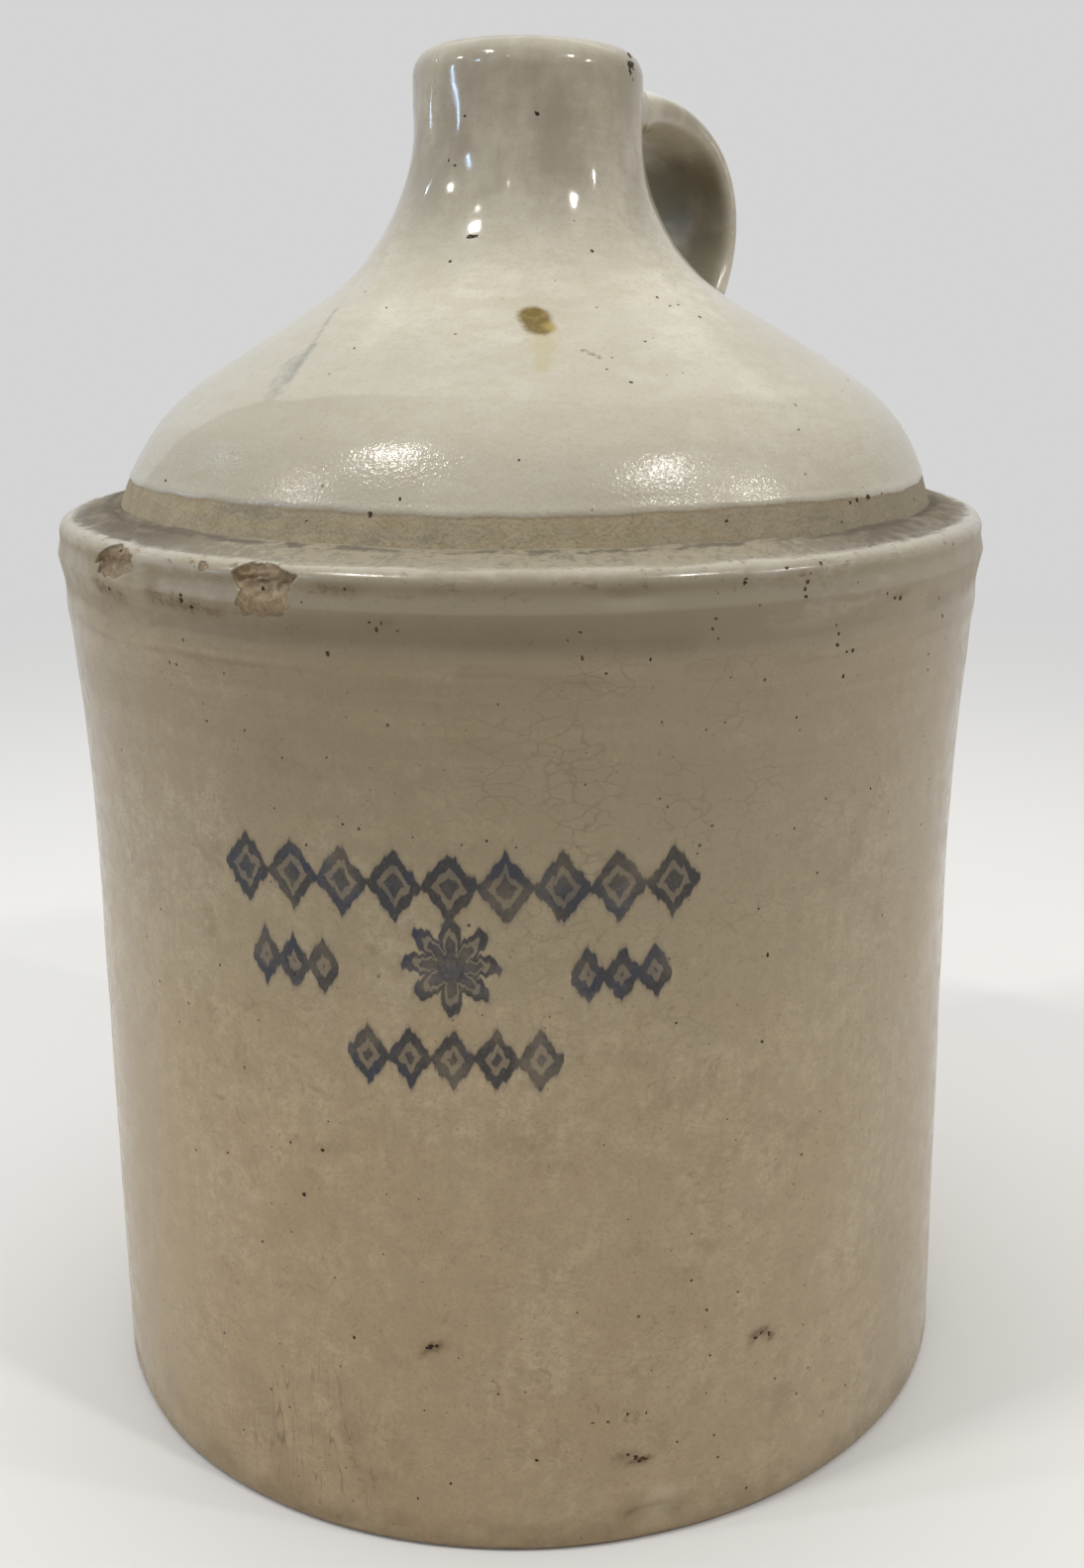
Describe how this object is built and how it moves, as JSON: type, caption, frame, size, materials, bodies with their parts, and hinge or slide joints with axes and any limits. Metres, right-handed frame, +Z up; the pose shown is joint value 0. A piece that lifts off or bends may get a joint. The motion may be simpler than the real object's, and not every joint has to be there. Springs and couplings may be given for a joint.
{
  "type": "stoneware shoulder jug",
  "caption": "Glazed stoneware shoulder jug: straight crock with a rolled rim and ledge, a luted dome with a narrow neck for a cork, and a strap handle from neck to shoulder.",
  "frame": {"origin": "centre of the base's underside, on the surface that the jug stands on", "axes": "+Z up along the axis on which the jug was turned, +X towards the handle, +Y to the handle's left seen from behind it"},
  "size_m": [0.23, 0.23, 0.3316],
  "materials": {
    "crock_glaze": "glossy warm grey-cream glaze over stoneware, finely crazed, with iron specks",
    "dome_glaze": "glossy pale cream glaze over stoneware, with iron specks",
    "bare_clay": "unglazed fired stoneware clay, dull and soiled"
  },
  "bodies": {
    "root": {"crock_body": "crock_glaze", "shoulder_dome": "dome_glaze", "shoulder_luting": "bare_clay", "handle_strap": "dome_glaze", "handle_upper_lute": "dome_glaze", "handle_lower_lute": "dome_glaze"}
  },
  "joints": []
}
